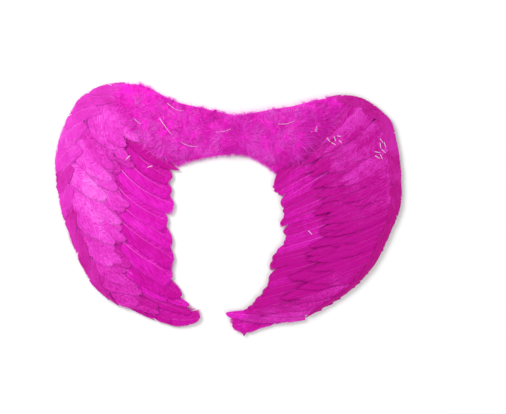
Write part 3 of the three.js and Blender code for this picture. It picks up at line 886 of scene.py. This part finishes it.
# How much paler the rows are by the ruff, and how much deeper by the tip, over so many stations
SHOULDER_PALER = {"left": (0.0, 1.0), "right": (0.14, 2.5)}
LOW_DEEPER = {"left": (0.22, 11.0), "right": (0.24, 10.2)}
LOW_FADE = 2.0
# Cut quill ends in the near-white bare quill, partly painted glints: by row, stations from the bridge,
# reach and turn.
QUILL_ENDS = {
    "left": {1: [(6.92, 0.60, 0.8), (6.61, 0.79, 0.3)]},
    "right": {
        1: [(5.28, 0.74, 0.9), (5.45, 0.70, 0.4), (11.60, 0.78, 0.8)],
        2: [(6.15, 0.42, 1.2), (6.35, 0.45, 0.5), (6.2, 0.37, 0.1), (6.6, 0.40, 0.8), (5.9, 0.46, 0.9)],
        3: [
            (8.25, 0.14, 1.4), (8.6, 0.12, 0.7), (8.45, 0.17, 0.2), (8.8, 0.15, 1.1), (8.05, 0.12, 0.9),
            (8.7, 0.18, 0.5), (8.35, 0.10, 1.2),
        ],
    },
}
QUILL_END_LENGTH = 11.0 * MM
QUILL_END = {"quill": 0.55 * MM, "quill_steps": 6, "taper": 0.3, "tone": 0.5}
QUILL_END_LIFT = 2.4 * MM


def row_tone(side_name, out):
    """How much paler or deeper the dye is at a place along a wing"""
    paler, fade = SHOULDER_PALER[side_name]
    deeper, start = LOW_DEEPER[side_name]
    from_ruff = max(0.0, out - SIDES[side_name]["ruff_end"])
    tone = paler * math.exp(-((from_ruff / fade) ** 2))
    tone -= deeper * np.clip((out - start) / LOW_FADE, 0.0, 1.0)
    along = out / SIDES[side_name]["stations"]
    return tone + TIP_PALER[side_name] * np.clip((along - TIP_FROM) / (1.0 - TIP_FROM), 0.0, 1.0)


def grow_quill_end(growth, side, out, reach, turn, row_root):
    """The bare cut end of a quill, which stands a little out of the feathers"""
    s = np.linspace(-0.5, 0.5, 8)
    heading = np.array([math.cos(turn) * side["way"], -math.sin(turn)])
    height = LAYER_BASE + COVERT_BASE + COVERT_CLIMB * (reach - row_root) / ROW_SPACING
    flat = wing_spot(side, out, reach) + heading * (s * QUILL_END_LENGTH)[:, None]
    line = raised(flat, height + QUILL_END_LIFT * (0.5 - s) * 0.5)
    across = np.tile([-heading[1], heading[0], 0.0], (len(s), 1))
    grow_quill(growth, line, across, (s + 0.5) * QUILL_END_LENGTH, QUILL_END, slot=2)


for side_name, side in SIDES.items():
    for row_number, row in enumerate(COVERT_ROWS[side_name], start=1):
        rng = np.random.default_rng(300 + 10 * row_number + side["way"])
        pitch, outs = spread_feathers(side, row["count"], row["start"], -COVERT_TIP_STATIONS)
        growth = new_growth()
        for out in outs:
            s = np.linspace(0.0, 1.0, COVERT_SHAFT_POINTS)
            root = row["root"] + rng.uniform(-1.0, 1.0) * min(0.045, row["root"] / 2)
            reach = root + row["length"] * rng.uniform(0.75, 1.1) * s
            stray = (rng.uniform(-0.3, 0.3) + rng.uniform(-0.6, 0.6) * s) * pitch
            stray = stray - COVERT_LAG[side_name] * (1.0 - s) ** 2
            climb = COVERT_CLIMB * (reach - root) / ROW_SPACING
            height = LAYER_BASE + COVERT_BASE + climb - COVERT_TIP_DROP * s**3
            shaft = raised(wing_spot(side, out + stray, reach), height)
            across, step = station_step(side, out + stray, reach)
            spacing = pitch * step * rng.uniform(0.9, 1.35)
            tone = COVERT_DYE_AND_SIDE_SHADE[side_name] - row["deeper"]
            tone += COVERT_UNEVEN[side_name] * rng.standard_normal()
            tone += row_tone(side_name, out)
            look = {**COVERT_FEATHER, "way": side["way"], **COVERT_SHAPE[side_name]}
            look["fade"] = 0.0
            for at_out, at_reach, far in BLEACHED[side_name]:
                beside = (root + row["length"] - at_reach) * REACH_STATIONS
                off = np.hypot(out - at_out, beside) / far
                look["fade"] += BLEACH * math.exp(-(off**2))
            look["tone"] = tone + look["fade"] / 2
            grow_feather(growth, rng, shaft, across, spacing, look)
        for out, reach, turn in QUILL_ENDS[side_name].get(row_number, []):
            grow_quill_end(growth, side, out, reach, turn, row["root"])
        node = f"covert_row_{side_name}_{row_number}"
        grown_piece(
            node.replace("covert_row", "covert_plumes"),
            growth,
            [covert_vane, covert_quill, bare_quill_and_glint],
            [node],
        )


# Rim rows. Broad smooth feathers laid end over end along the outer rim, so that the cut edge of
# the card doesn't show. Each slants from its root, set in from the rim, out to its tip on the rim.
rim_vane = vane_material(
    "rim_vane",
    0.46,
    (0.43, 0.002, 0.21),
    (0.71, 0.036, 0.53),
    (0.84, 0.20, 0.74),
    0.12,
    0.00018,
)
RIM_COUNT = {"left": 10, "right": 14}
RIM_START = 1.3
RIM_OVERLAP = 1.9
RIM_STOP = {"left": 0.9, "right": 1.4}
RIM_ROOT_REACH = {"left": 0.15, "right": 0.07}
RIM_TIP_REACH = {"left": 0.02, "right": 0.01}
RIM_HALF_REACH = {"left": 0.085, "right": 0.055}
RIM_EDGE_REACH = -0.002
RIM_TURN = 1.8
RIM_BASE = 2.9 * MM
RIM_CLIMB = 11.0 * MM
RIM_NEXT_CLIMB = 1.3 * MM
RIM_TIP_DROP = 1.6 * MM
RIM_SHAFT_POINTS = 36
RIM_PROBE = 0.05
RIM_FEATHER = {
    "barbs": 54, "steps": 6, "far_share": 1.1, "root": 0.6, "full": 0.35,
    "near_narrow": 0.8, "far_narrow": 0.45, "point": 0.55, "wander": 0.05, "fray": 0.03,
    "sweep": 1.8, "splits": 2, "zip": 3, "least": 4.0 * MM,
    "gap": 1.0 * MM, "camber": 1.6 * MM, "ruffle": 0.8 * MM, "nap": 0.06 * MM, "fade": 0.0,
    "painted_edge_light": 0.08, "loose": 8, "loose_length": 2.5 * MM, "loose_half": 0.14 * MM,
    "quill": 0.28 * MM, "quill_steps": 14, "taper": 0.85,
}
# The right rim's darker tone is partly a deeper dye and partly painted shade for the wing further from the
# key lamp.
RIM_DYE_AND_SIDE_SHADE = {"left": 0.38, "right": 0.0}
RIM_UNEVEN = 0.06
for side_name, side in SIDES.items():
    rng = np.random.default_rng(500 + side["way"])
    start = side["ruff_end"] - RIM_START
    stop = side["stations"] - 0.5 - RIM_STOP[side_name]
    count = RIM_COUNT[side_name]
    pitch = (stop - start) / (count - 1 + RIM_OVERLAP)
    growth = new_growth()
    for k in range(count):
        s = np.linspace(0.0, 1.0, RIM_SHAFT_POINTS)
        out = start + pitch * (k + RIM_OVERLAP * s)
        turn = (RIM_ROOT_REACH[side_name] - RIM_TIP_REACH[side_name]) * rng.uniform(0.8, 1.2)
        reach = RIM_TIP_REACH[side_name] + turn * (1.0 - s) ** RIM_TURN
        inward = wing_spot(side, out, reach + RIM_PROBE) - wing_spot(side, out, reach - RIM_PROBE)
        chord = np.linalg.norm(inward, axis=-1) / (2 * RIM_PROBE)
        across = unit(raised(inward, 0.0))
        climb = RIM_CLIMB * reach + RIM_NEXT_CLIMB * RIM_OVERLAP * s
        height = LAYER_BASE + RIM_BASE + climb - RIM_TIP_DROP * s**3
        shaft = raised(wing_spot(side, out, reach), height)
        tone = RIM_DYE_AND_SIDE_SHADE[side_name] + RIM_UNEVEN * rng.standard_normal() + row_tone(side_name, out[0])
        spacing = RIM_HALF_REACH[side_name] * chord * rng.uniform(0.9, 1.1)
        climb = RIM_CLIMB * RIM_HALF_REACH[side_name]
        look = {**RIM_FEATHER, "way": -side["way"], "tone": tone, "climb": climb}
        look["near_share"] = (reach - RIM_EDGE_REACH) / RIM_HALF_REACH[side_name]
        grow_feather(growth, rng, shaft, across, spacing, look)
    node = f"rim_row_{side_name}"
    grown_piece(
        node.replace("rim_row", "rim_plumes"),
        growth,
        [rim_vane, covert_quill],
        [node],
    )


# Down ruff. Fluffy down glued over the bridge and over the top of both wings, in three lengths
# that meet. It is a mat of matted fluff with soft tufts that stand out of it and hang past it.
down_material, down_tree, down_shader = new_material("down_fluff", 0.85)
add_dye(down_tree, down_shader, (0.66, 0.002, 0.38), (0.93, 0.024, 0.73), (0.98, 0.22, 0.91), 0.0)
set_sheen(down_shader, 0.1, 0.08, 0.5, (1.0, 0.6, 0.92))
down_place = add_node(down_tree, "ShaderNodeTexCoord").outputs["Object"]
add_bump(down_tree, down_shader, add_noise(down_tree, down_place, 700.0, 4.0), 0.0008, 0.6)

RUFF_DEPTH = 12.0 * MM
MAT_SECTION = np.array([
    (0.0, 0.25), (0.08, 0.62), (0.2, 0.9), (0.4, 1.0), (0.6, 1.0), (0.8, 0.9), (0.92, 0.62), (1.0, 0.25),
])
MAT_REACH = (0.035, 0.965)
MAT_LUMP = 4.5 * MM
BROAD_LUMPS = 70.0
FINE_LUMPS = 170.0
MAT_CELLS = (90, 60)
# The mat is dyed deeper than the tufts, as painted shade in the gaps between them.
MAT_PAINTED_SHADE_TONE = 0.26
RUFF_END = 5.05


def mat_top(ride, reach):
    """Height of the mat's lumpy top"""
    share = (reach - MAT_REACH[0]) / (MAT_REACH[1] - MAT_REACH[0])
    dome = np.interp(np.clip(share, 0.0, 1.0), *MAT_SECTION.T)
    place = spot(ride, reach)
    lump = np.array([
        noise.noise((x * BROAD_LUMPS, y * BROAD_LUMPS, 0.3))
        + 0.5 * noise.noise((x * FINE_LUMPS, y * FINE_LUMPS, 2.0))
        for x, y in place.reshape(-1, 2)
    ]).reshape(dome.shape)
    fall = np.clip((RUFF_END - np.abs(ride - BRIDGE)) / 0.8, 0.0, 1.0) ** 0.5
    return LAYER_BASE + (RUFF_DEPTH + MAT_LUMP * lump) * dome * fall


def grow_mat(growth, ride_from, ride_to, columns, rows):
    """The mat: a closed blanket with a lumpy top"""
    ride, reach = np.meshgrid(
        np.linspace(ride_from, ride_to, columns), np.linspace(*MAT_REACH, rows), indexing="ij"
    )
    flat = spot(ride, reach)
    top = raised(flat, mat_top(ride, reach))
    bottom = raised(flat, LAYER_BASE)
    shades = np.zeros_like(top)
    # The mat's deeper tone is painted shade between the tufts.
    shades[..., 2] = MAT_PAINTED_SHADE_TONE
    filled = np.ones((columns - 1, rows - 1), bool)
    heap_sheet(growth, top, bottom, shades, filled, ride_to > ride_from)


STRAND_POINTS = 5
STRAND_HALF = 0.24 * MM
# How much lighter a strand is painted at its tip than at its root: painted shade down among the tufts and
# painted light on top of them.
STRAND_PAINTED_SHADE = 0.4
TUFT_REACH = (0.045, 0.955)
TUFT_LENGTH = (14.0, 26.0)
TUFT_FAN = 4.5 * MM
TUFT_TONE = 0.46
TUFT_UNEVEN = 0.17
TUFT_DROP = 5.0 * MM
LOWEST_STRAND = 2.0 * MM
RUFF_BRIDGE_OUT = 1.3
BRIDGE_DEEPER = 0.12
RIGHT_END_DEEPER = 0.22


def grow_tufts(growth, rng, ride_from, ride_to, tufts, strands):
    """Tufts of down: fine tapering strands that fan out of one root and curl over"""
    ride = rng.uniform(min(ride_from, ride_to), max(ride_from, ride_to), tufts)
    reach = rng.uniform(*TUFT_REACH, tufts)
    root = spot(ride, reach)
    way = np.where(ride < BRIDGE, -1.0, 1.0)
    outward = unit(spot(ride, reach + 0.02) - spot(ride, reach - 0.02))
    onward = unit(spot(ride + 0.02, reach) - spot(ride - 0.02, reach)) * way[:, None]
    # Tufts point past the rim and the inner edge near them, and along the wing between them
    edge = np.clip((reach - 0.5) * 2.6, -1.0, 1.0)
    lie = outward * (edge * np.abs(edge))[:, None] + onward * (1.15 - np.abs(edge))[:, None]
    lie = unit(lie + 0.55 * rng.standard_normal((tufts, 2)))
    long = rng.uniform(*TUFT_LENGTH, tufts) * MM * np.interp(np.abs(edge), (0.5, 1.0), (1.0, 0.35))
    tone = TUFT_TONE + TUFT_UNEVEN * rng.standard_normal(tufts)
    tone -= BRIDGE_DEEPER * np.exp(-(((ride - BRIDGE) / RUFF_BRIDGE_OUT) ** 2))
    tone -= RIGHT_END_DEEPER * np.clip((ride - BRIDGE - 3.0) / 2.3, 0.0, 1.0)

    # Near the edges of the mat a tuft is shorter and fans out less
    pick = rng.integers(0, tufts, strands)
    fan = np.clip(rng.standard_normal((strands, 2)), -1.8, 1.8)
    fan_width = TUFT_FAN * np.interp(np.abs(edge[pick]), (0.5, 1.0), (1.0, 0.4))
    start = root[pick] + fan * fan_width[:, None]
    heading = unit(lie[pick] + 0.42 * fan + 0.25 * rng.standard_normal((strands, 2)))
    bend = square_to(heading) * rng.normal(0.0, 0.28, strands)[:, None]
    length = long[pick] * rng.uniform(0.5, 1.0, strands)
    start_ride = ride[pick]
    start_height = mat_top(start_ride, np.clip(reach[pick], *MAT_REACH)) - 1.5 * MM
    rise = rng.uniform(0.5, 5.5, strands) * MM
    t = np.linspace(0.0, 1.0, STRAND_POINTS)
    flat = start[:, None, :] + length[:, None, None] * (
        heading[:, None, :] * t[None, :, None] + bend[:, None, :] * (t**2)[None, :, None]
    )
    height = start_height[:, None] + rise[:, None] * np.sin(t * 2.4)[None, :] - TUFT_DROP * (t**3)[None, :]
    line = raised(flat, np.maximum(height, LOWEST_STRAND))
    strand_tone = tone[pick] + 0.1 * rng.standard_normal(strands)
    # Each strand is painted in shade at its root, down among the tufts, and in light towards its tip, on
    # top of them.
    strand_tone = strand_tone[:, None] - 0.15 + (STRAND_PAINTED_SHADE * t)[None, :]
    grow_strands(growth, rng, line, STRAND_HALF, strand_tone)


HEM_REACH = (0.8, 0.96)
HEM_LENGTH = (4.0, 9.0)
HEM_DROP = (0.8, 2.2)
HEM_TONE = 0.3
HEM_UNEVEN = 0.15
HEM_POINTS = 4


def grow_hem(growth, rng, ride_from, ride_to, strands):
    """Fluff that curls back under the mat where it hangs past the card"""
    ride = rng.uniform(min(ride_from, ride_to), max(ride_from, ride_to), strands)
    reach = rng.uniform(*HEM_REACH, strands)
    root = spot(ride, reach)
    heading = unit(unit(spot(ride, reach + 0.02) - root) + 0.9 * rng.standard_normal((strands, 2)))
    length = rng.uniform(*HEM_LENGTH, strands) * MM
    t = np.linspace(0.0, 1.0, HEM_POINTS)
    flat = root[:, None, :] + length[:, None, None] * heading[:, None, :] * t[None, :, None]
    drop = rng.uniform(*HEM_DROP, strands) * MM
    height = LAYER_BASE + 0.4 * MM - drop[:, None] * np.sin(t * 2.2)[None, :]
    tone = HEM_TONE + HEM_UNEVEN * rng.standard_normal(strands)
    tone = np.repeat(tone[:, None], HEM_POINTS, axis=1)
    grow_strands(growth, rng, raised(flat, height), STRAND_HALF, tone)


# Bare shafts that lie on the down: stations along one wing and reach, of the root and the end
SHOWN_SHAFTS = {
    "down_ruff_left": ("left", [
        (3.44, 0.42, 3.24, 0.63), (2.79, 0.13, 2.21, 0.16), (2.98, 0.70, 2.02, 0.76),
        (4.75, 0.38, 4.55, 0.45),
    ]),
    "down_ruff_bridge": ("left", [(1.2, 0.49, 0.58, 0.37), (-0.74, 0.19, -1.08, 0.20)]),
    "down_ruff_right": ("right", [
        (2.21, 0.32, 3.10, 0.28), (4.40, 0.44, 4.75, 0.40), (4.55, 0.38, 4.85, 0.43),
    ]),
}
SHAFT_LIFT = 2.2 * MM
SHAFT_LOOK = {"quill": 0.5 * MM, "quill_steps": 10, "taper": 0.7, "tone": 0.5}


def grow_shown_shaft(growth, side, from_out, from_reach, to_out, to_reach):
    """A bare shaft on top of the down, with a slight bow"""
    s = np.linspace(0.0, 1.0, 16)
    out = from_out + (to_out - from_out) * s
    reach = from_reach + (to_reach - from_reach) * s + 0.03 * np.sin(math.pi * s)
    ride = BRIDGE + side["way"] * out
    top = (mat_top(ride, reach) + SHAFT_LIFT).max()
    line = raised(spot(ride, reach), top - SHAFT_LIFT * (1.0 - s) ** 2)
    across = unit(square_to(unit(np.gradient(line, axis=0))))
    grow_quill(growth, line, across, metres_along(line), SHAFT_LOOK)


# Where each length starts and ends, in stations from the bridge, its tufts, their strands, and
# the strands of the coat between the tufts
RUFFS = {
    "down_ruff_left": {
        "from": -RUFF_BRIDGE_OUT, "to": -SIDES["left"]["ruff_end"],
        "tufts": 260, "strands": 12500, "coat": 4200,
    },
    "down_ruff_bridge": {
        "from": -RUFF_BRIDGE_OUT, "to": RUFF_BRIDGE_OUT, "tufts": 130, "strands": 7500, "coat": 2600,
    },
    "down_ruff_right": {
        "from": RUFF_BRIDGE_OUT, "to": SIDES["right"]["ruff_end"],
        "tufts": 260, "strands": 12500, "coat": 4200,
    },
}
STRANDS_PER_HEM_STRAND = 8
for number, (node, ruff) in enumerate(RUFFS.items()):
    rng = np.random.default_rng(700 + number)
    growth = new_growth()
    ride_from, ride_to = BRIDGE + ruff["from"], BRIDGE + ruff["to"]
    mat_to = np.clip(ride_to, BRIDGE - RUFF_END, BRIDGE + RUFF_END)
    grow_mat(growth, ride_from, mat_to, *MAT_CELLS)
    grow_tufts(growth, rng, ride_from, ride_to, ruff["tufts"], ruff["strands"])
    grow_tufts(growth, rng, ride_from, ride_to, ruff["coat"], ruff["coat"])
    grow_hem(growth, rng, ride_from, mat_to, ruff["strands"] // STRANDS_PER_HEM_STRAND)
    side_name, shafts = SHOWN_SHAFTS[node]
    for shaft in shafts:
        grow_shown_shaft(growth, SIDES[side_name], *shaft)
    grown_piece(node.replace("ruff", "fluff"), growth, [down_material, bare_quill_and_glint], [node])


# Shoulder straps. Two flat bands of ribbed elastic behind the shoulders, from the bridge down
# each wing. They are woven with cords of rubber, which raise the ribs, and are fixed to the card.
elastic_material, elastic_tree, elastic_shader = new_material("ribbed_elastic", 0.7)
elastic_parts = add_parts(elastic_tree, shade_of(elastic_tree))
elastic_yarns = add_streaks(elastic_tree, elastic_parts, (2500.0, 700.0, 1.0), 2.0)
elastic_mottle = add_range(elastic_tree, elastic_yarns, 0.3, 0.7)
elastic_colour = add_mix(elastic_tree, elastic_mottle, (0.5, 0.01, 0.3), (0.78, 0.05, 0.52))
elastic_tree.links.new(elastic_colour, elastic_shader.inputs["Base Color"])
add_bump(elastic_tree, elastic_shader, elastic_yarns, 0.0002, 0.6)

STRAP_WIDTH = 18.0 * MM
STRAP_BACK = 0.05 * MM
STRAP_FRONT = 0.95 * MM
STRAP_RIBS = 9
STRAP_STEPS = 90
POINTS_PER_RIB = 4
RIB_DEPTH = 0.2 * MM
# The band's route: stations from the bridge, and reach
STRAP_ROUTE = np.array([
    (1.0, 0.42), (2.4, 0.5), (4.2, 0.62), (6.4, 0.64), (8.6, 0.63), (10.6, 0.6),
])

for side_name, side in SIDES.items():
    place = np.linspace(0.0, len(STRAP_ROUTE) - 1.0, STRAP_STEPS)
    middle = curve_through(wing_spot(side, *STRAP_ROUTE.T), place)
    sideways = square_to(unit(np.gradient(middle, axis=0)))
    share = np.linspace(-0.5, 0.5, POINTS_PER_RIB * STRAP_RIBS + 1)
    flat = middle[:, None] + sideways[:, None] * (share * STRAP_WIDTH)[None, :, None]
    ribs = RIB_DEPTH * np.abs(np.sin(math.pi * STRAP_RIBS * (share + 0.5)))
    faces = [
        raised(flat, level)
        for level in (STRAP_FRONT - RIB_DEPTH + ribs, STRAP_BACK + RIB_DEPTH - ribs)
    ]
    shades = np.zeros_like(faces[0])
    shades[..., 0] = metres_along(middle)[:, None]
    shades[..., 1] = (share * STRAP_WIDTH)[None, :]
    growth = new_growth()
    heap_sheet(growth, *faces, shades, np.ones((len(middle) - 1, len(share) - 1), bool), True)
    node = f"shoulder_strap_{side_name}"
    grown_piece(node.replace("strap", "band"), growth, [elastic_material], [node])
